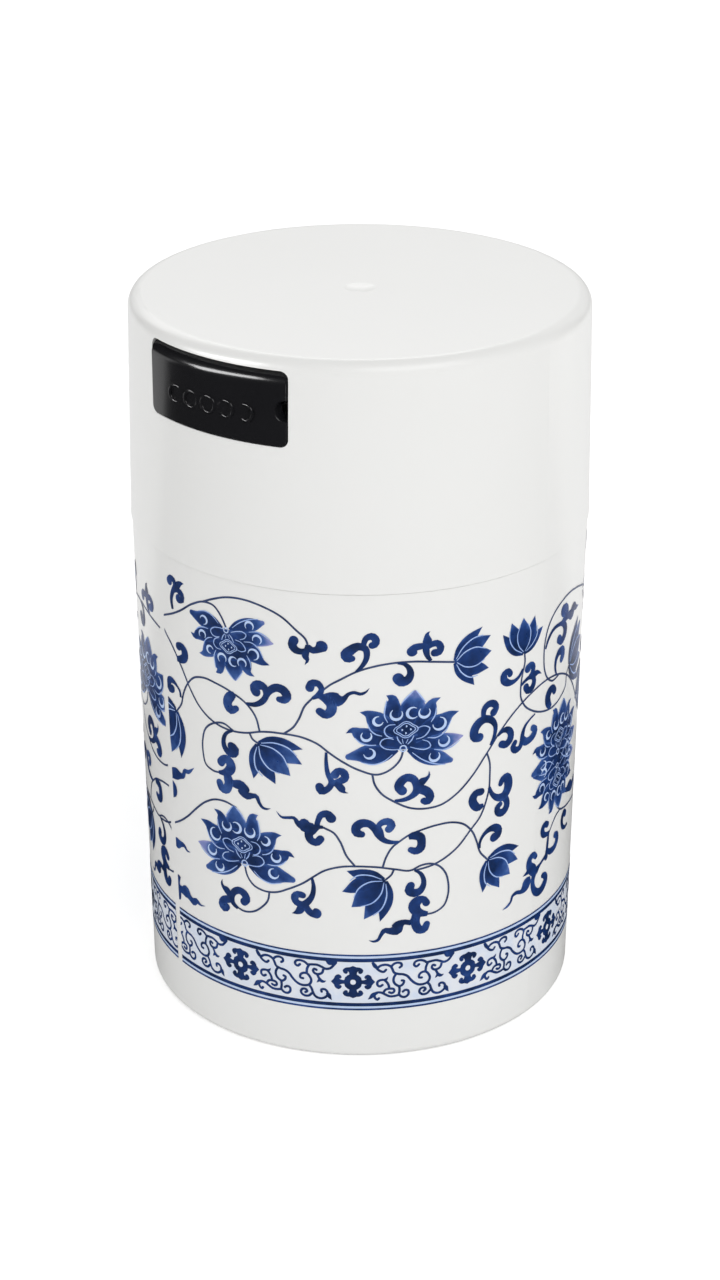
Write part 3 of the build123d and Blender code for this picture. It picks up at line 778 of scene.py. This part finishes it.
     (-37.6, 28, 1.4), (-36.8, 28.5, 1)],
    [(-35.6, 31.2, 1), (-36.8, 32.2, 1.3), (-37.8, 32.6, 0.7), (-38.3, 33.4, 0.4), (-38, 34.2, 0)],
    [(-12.2, 38.9, 0.4), (-11.8, 37, 0.7), (-12.2, 35, 0.9), (-13.4, 33.6, 1.1), (-14.6, 32.9, 1.2),
     (-16.4, 33.3, 1.2), (-16.8, 34.4, 1.3), (-15.9, 35, 1.2), (-14.7, 34.9, 0.9)],
    [(-14, 33, 1), (-13.4, 31.9, 1.2), (-12.3, 31.2, 1.3), (-11.3, 31.3, 1.5)],
    [(-14.8, 32.6, 1.2), (-15.6, 31.5, 1.3), (-16.5, 31, 0.7), (-17.6, 30.7, 0)],
    [(32.7, 51.3, 0.6), (31.2, 51, 1.3), (29.9, 51.8, 1.5), (29.4, 53.1, 1.5), (30.4, 54.2, 1.3),
     (31.9, 54.2, 1)],
    [(34.3, 54.6, 0.6), (35.3, 53, 0.8), (37, 51.9, 1.2), (38.9, 51.7, 1.6), (40.2, 52.6, 1.7),
     (40.6, 54.2, 1.8), (39.8, 55.5, 1.6), (38.5, 55.3, 1.2), (38, 54.6, 0.8)],
    [(39.2, 51.6, 1.3), (40.2, 50.4, 1.2), (40.2, 49.2, 1.3), (38.8, 48.3, 1.4), (37.4, 48.7, 1.3),
     (37.2, 49.8, 1.1), (38, 50.2, 0.8)],
    [(31.9, 42.2, 0.4), (32, 43.6, 0.5), (33.1, 44.9, 0.7), (34.7, 45.6, 1), (36.6, 45.6, 1.4),
     (37.8, 44.8, 1.5), (37.4, 43.8, 1.5), (36.4, 43.6, 1.3)],
    [(59.2, 38.1, 0.7), (57.6, 38.1, 0.9), (55.9, 38.7, 1.2), (55.5, 39.8, 1.2), (56.6, 40.6, 1.2),
     (57.9, 40.2, 0.9)],
    [(58.9, 38.2, 0.5), (58.6, 36.4, 0.7), (58.3, 34.5, 0.8), (58, 33, 0.9)],
    [(58.2, 34.4, 0.8), (60.2, 33.6, 1.2), (62.6, 33.6, 1.3), (64.2, 34.6, 1.4), (64, 35.9, 1.3),
     (62.8, 36.3, 0.9)],
    [(58.3, 33.6, 0.8), (56.4, 33, 0.6), (54.6, 32.3, 0.7), (52.8, 31.7, 1.8), (51.2, 32.6, 2),
     (49.9, 33.8, 1.6), (50.1, 35.1, 1.3), (51.6, 35.6, 1.2), (52.7, 34.9, 0.8)],
    [(50.8, 33.2, 1.4), (49.4, 32.5, 0.9), (47.3, 32.1, 0)],
    [(52.6, 31.6, 1.4), (51.8, 30, 1.1), (52.1, 28.2, 1.2), (53.4, 26.9, 1.4), (55.3, 26.4, 1.5),
     (57.3, 27.1, 1.6), (58.3, 28.2, 1.4), (57.6, 29.2, 1.2), (56.6, 29.5, 0.8)],
    [(50.8, 30.6, 1.2), (49.3, 30.2, 2.2), (48.2, 29.4, 1.9), (46.9, 29, 0.9), (45, 29.3, 0.7),
     (43.6, 29, 0.6), (43, 27.9, 0.5), (42, 27.3, 0.5), (40.1, 26.8, 0)],
    [(73, 35.2, 0.5), (70.3, 35.3, 0.7), (68, 36.5, 1), (67.6, 38, 1.2), (68.9, 39, 1.3),
     (70.2, 38.4, 1)],
    [(64.5, 43.4, 0), (67.5, 44.2, 0.6), (70.5, 43.5, 1), (73.5, 43.3, 2), (76.5, 42.3, 1.4),
     (79, 43, 1)],
]

# Motifs that the print's first end cuts through
LEFTOVERS = [
    [(-58, 51.4, 1.6), (-55.8, 51.9, 2), (-54.3, 52.2, 2), (-52.9, 52.3, 1.2), (-51.6, 52.6, 0.9),
     (-50.9, 53.8, 0.8), (-49.3, 54.1, 0.7), (-47.9, 54.9, 0.4), (-46.8, 55.7, 0)],
    [(-57.2, 49.8, 0.8), (-56.1, 48.9, 1.4), (-56, 47.8, 1.4), (-57.2, 47, 0.9)],
    [(-57.6, 37.3, 1), (-55.6, 36.9, 1.9), (-54.1, 37.2, 1.1), (-52.4, 37.3, 0.7),
     (-51.2, 36.6, 0.4), (-49.8, 36.7, 0)],
    [(-55.6, 29.8, 0.9), (-56.2, 28, 0.9), (-55.8, 26.6, 1), (-56, 25, 0.8)],
    [(-56.2, 27.2, 1.2), (-54.3, 27, 1.4), (-52.5, 27.2, 2.3), (-50.9, 26.5, 1.2), (-49.4, 26, 1.3),
     (-47.9, 26.6, 1), (-46.5, 26.2, 0.4), (-44.5, 26.5, 0)],
]

LEAF_FULLNESS = 1.2
BLOB_FULLNESS = 1.25


def draw_leaf(path, patch, tone):
    """A curled leaf; one that doesn't taper to a point ends in a round blob."""
    knots = patch.path(path, LEAF_FULLNESS)
    x, y, width = knots[-1]
    knots[-1] = (x, y, width * BLOB_FULLNESS)
    leaves.stroke(knots, tone, tone + 0.12, columns=4, edge_tone=0.06)


# Each lotus: degrees round, mm up, scale, and 1 or -1 for each way it can be mirrored
LOTUSES = [
    (-34.3, 86.9, 0.84, 1, -1),
    (10.6, 66.1, 1.0, 1, 1),
    (-30.7, 39.3, 1.0, -1, 1),
    (62, 51.6, 0.85, 1, -1),
    (62, 54.6, 0.9, 1, 1),
]

# Each bud: degrees round, mm up, the way it points in degrees, and scale
BUDS = [
    (23.5, 82.3, 3, 1.0),
    (44.5, 80, 92, 0.95),
    (-26, 65.3, -42, 1.1),
    (6.3, 38.7, -140, 1.1),
    (34.5, 39.2, -42, 1.0),
    (67.2, 71.2, 15, 1.2),
    (-53.4, 65.9, -128, 1.2),
]

# Disc between the last two lotuses, which stand foot to foot: degrees, mm up, and radius
TWIN_HEART = (62, 53.1, 1.7)

# Each copy of the garden: degrees round, mm up, and degrees of lean per mm
GARDEN_COPIES = [(0, 0, 0), (138.75, 0, 0), (279.5, -1.2, -0.1)]


def draw_garden(patch):
    """The whole group of flowers, once, in its place on the wall."""
    for path in VINES:
        vines.stroke(patch.path([(turn, height, VINE_WIDTH) for turn, height in path]), columns=2)
    for number, path in enumerate(LEAVES):
        draw_leaf(path, patch, 0.12 + 0.06 * (number % 3))
    for turn, height, scale, flip_x, flip_y in LOTUSES:
        draw_lotus(*patch.spot(turn, height), scale, flip_x, flip_y)
    turn, height, radius = TWIN_HEART
    heart = placed(disc(radius), *patch.spot(turn, height))
    lotus_blue.stroke(heart, PETAL_TONE, step=0.25, columns=5)
    for turn, height, spin, scale in BUDS:
        draw_bud(*patch.spot(turn, height), spin, scale)


# The garden comes round two and a half times; its last copy leans before the print ends
for copy in GARDEN_COPIES:
    draw_garden(Patch(*copy))

first_patch = Patch(*GARDEN_COPIES[0])
for path in LEFTOVERS:
    draw_leaf(path, first_patch, 0.3)


# ---------------------------------------------------------------- the edging below the garden

# Medallions: degrees between two, where number 0 is, mm up, and the numbers that are drawn
EDGING_PITCH = 31.1
EDGING_FIRST = -32.9
EDGING_CENTRE = 16.75
EDGING_NUMBERS = range(-1, 12)

# Scrolls between two medallions, as degrees from the medallion on their left and mm up
EDGING_SCROLLS = [
    [(5.2, 20.8), (6.1, 19.8), (7.2, 20.3), (8.6, 20.4), (9.7, 20), (10.2, 19.3), (10.6, 18.6),
     (11.7, 18.2), (13.1, 18), (14.2, 17.5), (15.1, 16.6), (16, 15.9), (17.1, 15.4), (18.4, 15.3),
     (19.6, 15.6), (20.2, 16.5), (19.8, 17.4), (19, 18), (18.1, 18), (17.3, 17.5), (17.3, 16.9),
     (18, 16.8)],
    [(6.1, 19.7), (7, 19.1), (8, 18.9), (8.5, 19.3)],
    [(9.9, 20), (10.6, 20.5), (11.6, 20.7), (12.5, 20.4), (12.6, 19.9), (12.1, 19.6)],
    [(11.1, 18.2), (10.6, 17.5), (10.5, 16.7), (11.1, 15.9), (12.2, 15.5), (13.1, 16), (13.2, 16.6),
     (12.7, 16.7)],
    [(12, 15.6), (12.1, 14.5), (12, 13.7), (12.7, 13.1), (13.7, 13), (14.5, 13.6), (14.3, 14.4),
     (13.5, 14.5), (13, 14.2)],
    [(12, 13.6), (10.9, 13.4), (9.6, 13.4), (8.3, 13.9), (7.4, 14.3), (6.4, 14.4), (5.4, 14.1)],
    [(7.8, 14.2), (8.4, 14.9), (9.7, 15.1), (10.6, 14.9), (10.7, 14.4), (10, 14.1), (9.4, 14.3)],
    [(9.4, 15), (9.2, 15.9), (8.7, 16.6), (8, 17.1), (7.2, 17.1), (6.4, 16.8), (6.3, 16.1),
     (6.9, 15.7), (7.6, 16)],
    [(5.5, 13.9), (5.7, 13.2), (6.4, 12.8), (6.7, 13.1)],
    [(19.4, 19.9), (18.4, 20.5), (17.2, 20.7), (16.1, 20.4), (15.9, 19.8), (16.6, 19.4),
     (17.2, 19.8)],
    [(19.6, 19.9), (19.1, 19), (19, 18.1)],
    [(19.5, 20), (20.6, 20.1), (21.9, 20.1), (22.9, 19.8), (24.1, 19.4), (25.2, 19.6), (26.1, 20.3),
     (26.7, 20.9)],
    [(23.4, 19.3), (23.1, 18.5), (22.2, 18.1), (21.2, 18.2), (20.7, 18.7), (21, 19.2), (21.6, 19)],
    [(21.7, 18.1), (22.1, 17.5), (22.4, 16.9)],
    [(19.6, 15.5), (20.2, 14.9), (20.6, 14), (21.2, 13.2), (22.4, 12.8), (23.6, 13), (24.4, 13.6),
     (24.4, 14.4), (23.6, 14.9), (22.8, 14.7), (22.9, 14.3)],
    [(20.4, 13.8), (19.4, 13.1), (18.2, 13.1), (17.4, 13.7), (17.7, 14.4), (18.7, 14.5),
     (19.1, 14.1), (18.6, 13.8)],
]
# Leaf tips on the scrolls, with their widths
EDGING_TIPS = [
    [(5, 21.1, 0.5), (5.7, 20.2, 0.8), (6.3, 19.7, 0.5)],
    [(8, 17, 0.6), (8.7, 17.3, 0.5), (9.1, 17.8, 0)],
    [(6.3, 14.3, 0.5), (5.2, 13.9, 0.9), (4.5, 13.3, 0.6), (3.8, 12.9, 0)],
    [(24.4, 21.4, 0.8), (25.2, 20.9, 1.3), (26, 21.1, 1), (26.9, 21.4, 0.6)],
    [(22.3, 17.2, 0.5), (23, 16.6, 0.7), (23.7, 16.6, 0.4), (24.1, 16.8, 0)],
    [(22.4, 17, 0.5), (22.1, 16.6, 0.5), (21.6, 16.2, 0)],
    [(24.3, 14.2, 0.5), (24.8, 13.6, 0.9), (25.2, 13, 0.5), (25.6, 12.6, 0)],
]

# A medallion's upright and level arms, outward along x, with the ear on one side of each
MEDALLION_CORE = 1.8
MEDALLION_EYE = 0.55
MEDALLION_TONE = 0.15
UPRIGHT_ARM = [
    (1.0, 0, 1.6), (1.9, 0, 1.5), (2.3, 0, 1.8), (2.6, 0, 2.5), (2.95, 0, 2.3), (3.25, 0, 1.3),
    (3.55, 0, 0),
]
UPRIGHT_EAR = [(2.8, 0.6, 0.9), (2.75, 1.2, 0.9), (2.45, 1.6, 0.85), (2.2, 1.4, 0.8)]
LEVEL_ARM = [
    (1.0, 0, 1.1), (2.0, 0, 0.85), (2.6, 0, 1.3), (3.1, 0, 2.2), (3.5, 0, 1.9), (3.9, 0, 0.9),
    (4.3, 0, 0),
]
LEVEL_EAR = [(3.3, 0.5, 0.8), (3.15, 1.0, 0.85), (2.8, 1.25, 0.8), (2.55, 1.05, 0.7)]

# Each dark line and each pale wash round the canister: height, width and tone
EDGING_LINES = [(22.55, 0.35, 0.3), (21.5, 0.78, 0.12), (11.75, 0.75, 0.12), (10.7, 0.4, 0.3)]
EDGING_WASHES = [(16.7, 9.2, 0.85), (22.05, 1.2, 0.1), (11.2, 1.2, 0.1)]
SCROLL_WIDTH = 0.52
SCROLL_TONE = 0.2

# Degrees between the knots of a line round the canister
LINE_STEP = 4.0


def ring_line(drawing, height, width, tone):
    """A line right round the canister, from one end of the print to the other."""
    turns = np.arange(FILM_START - LINE_STEP, FILM_END + 2 * LINE_STEP, LINE_STEP)
    drawing.stroke([(turn * MM_PER_DEGREE, height, width) for turn in turns], tone, step=0.9)


def draw_medallion(turn):
    """A cross of four eared arms on a round core with a pale eye."""
    core = placed(disc(MEDALLION_CORE), turn, EDGING_CENTRE)
    edging.stroke(core, MEDALLION_TONE, step=0.25, columns=5)
    for quarter in range(4):
        arm, ear = (LEVEL_ARM, LEVEL_EAR) if quarter % 2 == 0 else (UPRIGHT_ARM, UPRIGHT_EAR)
        place = (turn, EDGING_CENTRE, 1.0, 1, 1, 90 * quarter)
        edging.stroke(placed(arm, *place), MEDALLION_TONE, step=0.25, columns=5)
        for side in (1, -1):
            half = [(x, side * y, width) for x, y, width in ear]
            edging.stroke(placed(half, *place), MEDALLION_TONE, step=0.2)
    eye = placed(disc(MEDALLION_EYE), turn, EDGING_CENTRE)
    edging_dots.stroke(eye, 1.0, step=0.1, columns=5)


def draw_scrolls(turn):
    """The curling stems and leaf tips to the right of one medallion."""
    for path in EDGING_SCROLLS:
        knots = [((turn + x) * MM_PER_DEGREE, y, SCROLL_WIDTH) for x, y in path]
        scrolls.stroke(knots, SCROLL_TONE, step=0.25)
    for path in EDGING_TIPS:
        knots = [((turn + x) * MM_PER_DEGREE, y, width) for x, y, width in path]
        scrolls.stroke(knots, SCROLL_TONE, step=0.25)


for height, width, tone in EDGING_LINES:
    ring_line(edging, height, width, tone)
for height, width, tone in EDGING_WASHES:
    ring_line(wash, height, width, tone)
for number in EDGING_NUMBERS:
    turn = EDGING_FIRST + EDGING_PITCH * number
    draw_medallion(turn)
    draw_scrolls(turn)

lotus_blue.finish("printed_wrap")
for drawing in (lotus_pale, bud_blue, bud_pale, vines, leaves, edging, edging_dots, scrolls, wash):
    drawing.finish()


# ---------------------------------------------------------------- springs

# Straight pieces in one turn of a coil
STEPS_PER_TURN = 28


def coil_path(node, axis, radius, wire, turns):
    """The line of a coil between a CAD spring's two ends, its first and last turn closed up."""
    low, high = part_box(node)
    low, high = np.array(low), np.array(high)
    middle = (low + high) / 2
    length = high[axis] - low[axis] - 2 * wire
    steps = turns * STEPS_PER_TURN
    share = np.linspace(0, 1, steps + 1)
    rise = np.clip((share * turns - 1) / (turns - 2), 0, 1) * (length - 4 * wire)
    rise += np.clip(share * turns, 0, 1) * 2 * wire
    rise += np.clip(share * turns - (turns - 1), 0, 1) * 2 * wire
    angle = share * turns * 2 * math.pi
    across = [index for index in range(3) if index != axis]
    path = np.zeros((steps + 1, 3))
    path[:, axis] = low[axis] + wire + rise
    path[:, across[0]] = middle[across[0]] + radius * np.cos(angle)
    path[:, across[1]] = middle[across[1]] + radius * np.sin(angle)
    return path


def coil_spring(name, node, axis, radius, wire, turns):
    """A coil of round wire, as one mesh in a CAD spring's place; wire is the wire's radius."""
    path = coil_path(node, axis, radius, wire, turns)
    curve = bpy.data.curves.new(name, "CURVE")
    curve.dimensions = "3D"
    curve.bevel_depth = wire
    curve.bevel_resolution = 3
    curve.use_fill_caps = True
    spline = curve.splines.new("POLY")
    spline.points.add(len(path) - 1)
    for point, position in zip(spline.points, path):
        point.co = (*position, 1)
    shape = bpy.data.objects.new(name + "_curve", curve)
    bpy.context.collection.objects.link(shape)
    mesh = bpy.data.meshes.new_from_object(shape.evaluated_get(bpy.context.evaluated_depsgraph_get()))
    bpy.data.objects.remove(shape)
    mesh.name = name
    mesh.materials.clear()
    mesh.materials.append(wire_steel)
    mesh.shade_smooth()
    piece = bpy.data.objects.new(name, mesh)
    bpy.context.collection.objects.link(piece)
    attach(piece, "cap")
    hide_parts(node)
    return piece


button_coil = coil_spring(
    "button_coil", "button_spring", axis=1, radius=0.0030, wire=0.0003, turns=8
)
valve_coil = coil_spring(
    "valve_coil", "valve_spring", axis=2, radius=0.0022, wire=0.00022, turns=7
)
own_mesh(button_coil)
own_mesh(valve_coil)


# ---------------------------------------------------------------- stage, light and camera

# The floor, in metres; its glow keeps it as white as the photo's ground
FLOOR_CORNERS = [(-7, -7, 0), (7, -7, 0), (7, 7, 0), (-7, 7, 0)]
FLOOR_WHITE = (0.92, 0.92, 0.92, 1)
FLOOR_ROUGHNESS = 0.9
FLOOR_GLOW = 0.25

# The sky's light on the canister, and its brightness behind it, where it has to match the floor
SKY_LIGHT = 0.69
SKY_SEEN = 1.1

# An aim so high that the panel light faces straight up
FACE_UP = 1000.0

floor_mesh = bpy.data.meshes.new("floor")
floor_mesh.from_pydata(FLOOR_CORNERS, [], [(0, 1, 2, 3)])
floor = bpy.data.objects.new("floor", floor_mesh)
bpy.context.collection.objects.link(floor)
floor_material, nodes, links, shader = new_material("floor")
shader.inputs["Base Color"].default_value = FLOOR_WHITE
shader.inputs["Roughness"].default_value = FLOOR_ROUGHNESS
shader.inputs["Emission Color"].default_value = (1, 1, 1, 1)
shader.inputs["Emission Strength"].default_value = FLOOR_GLOW
floor_mesh.materials.append(floor_material)
floor.visible_glossy = False

scene = bpy.context.scene
scene.view_settings.view_transform = "Standard"
world = bpy.data.worlds.new("studio")
scene.world = world
world.use_nodes = True
sky = world.node_tree.nodes["Background"]
sky.inputs["Color"].default_value = (1, 1, 1, 1)
sky_strength = world.node_tree.nodes.new("ShaderNodeMapRange")
sky_strength.inputs["To Min"].default_value = SKY_LIGHT
sky_strength.inputs["To Max"].default_value = SKY_SEEN
ray_kind = world.node_tree.nodes.new("ShaderNodeLightPath")
world.node_tree.links.new(ray_kind.outputs["Is Camera Ray"], sky_strength.inputs["Value"])
world.node_tree.links.new(sky_strength.outputs["Result"], sky.inputs["Strength"])
world.cycles_visibility.glossy = False


def softbox(name, turn, distance, height, size, power, aim=0.09, tilt=0.0, gloss_only=False):
    """A panel light, turn degrees round from the camera, that faces the axis at the height of aim."""
    light = bpy.data.lights.new(name, "AREA")
    light.shape = "RECTANGLE"
    light.size, light.size_y = size
    light.energy = power
    panel = bpy.data.objects.new(name, light)
    bpy.context.collection.objects.link(panel)
    angle = CAMERA_TURN + math.radians(turn)
    place = Vector((distance * math.sin(angle), -distance * math.cos(angle), height))
    away = place - Vector((0, 0, aim))
    facing = away.to_track_quat("Z", "Y").to_matrix() @ Matrix.Rotation(math.radians(tilt), 3, "Z")
    panel.matrix_world = Matrix.Translation(place) @ facing.to_4x4()
    panel.visible_camera = False
    panel.visible_diffuse = not gloss_only


# The last three lights show only in reflections
softbox("key", 28, 0.9, 0.9, (0.9, 0.7), 4.7)
softbox("back", 200, 0.8, 0.75, (1.0, 0.5), 2.3)
softbox("button_strip", -68, 1.0, 0.44, (0.75, 0.24), 8.5, aim=0.13, tilt=36, gloss_only=True)
softbox("back_card", 180, 1.5, 0.85, (3.0, 1.6), 11.5, gloss_only=True)
softbox("floor_card", 180, 0.90, 0.002, (3.0, 1.6), 14, aim=FACE_UP, gloss_only=True)

camera_data = bpy.data.cameras.new("camera")
camera = bpy.data.objects.new("camera", camera_data)
bpy.context.collection.objects.link(camera)
camera.location = (
    CAMERA_DISTANCE * math.sin(CAMERA_TURN),
    -CAMERA_DISTANCE * math.cos(CAMERA_TURN),
    CAMERA_HEIGHT,
)
camera.rotation_euler = (math.pi / 2 - CAMERA_PITCH, 0, CAMERA_TURN)
camera_data.sensor_width = SENSOR_WIDTH
camera_data.lens = CAMERA_LENS
scene.camera = camera
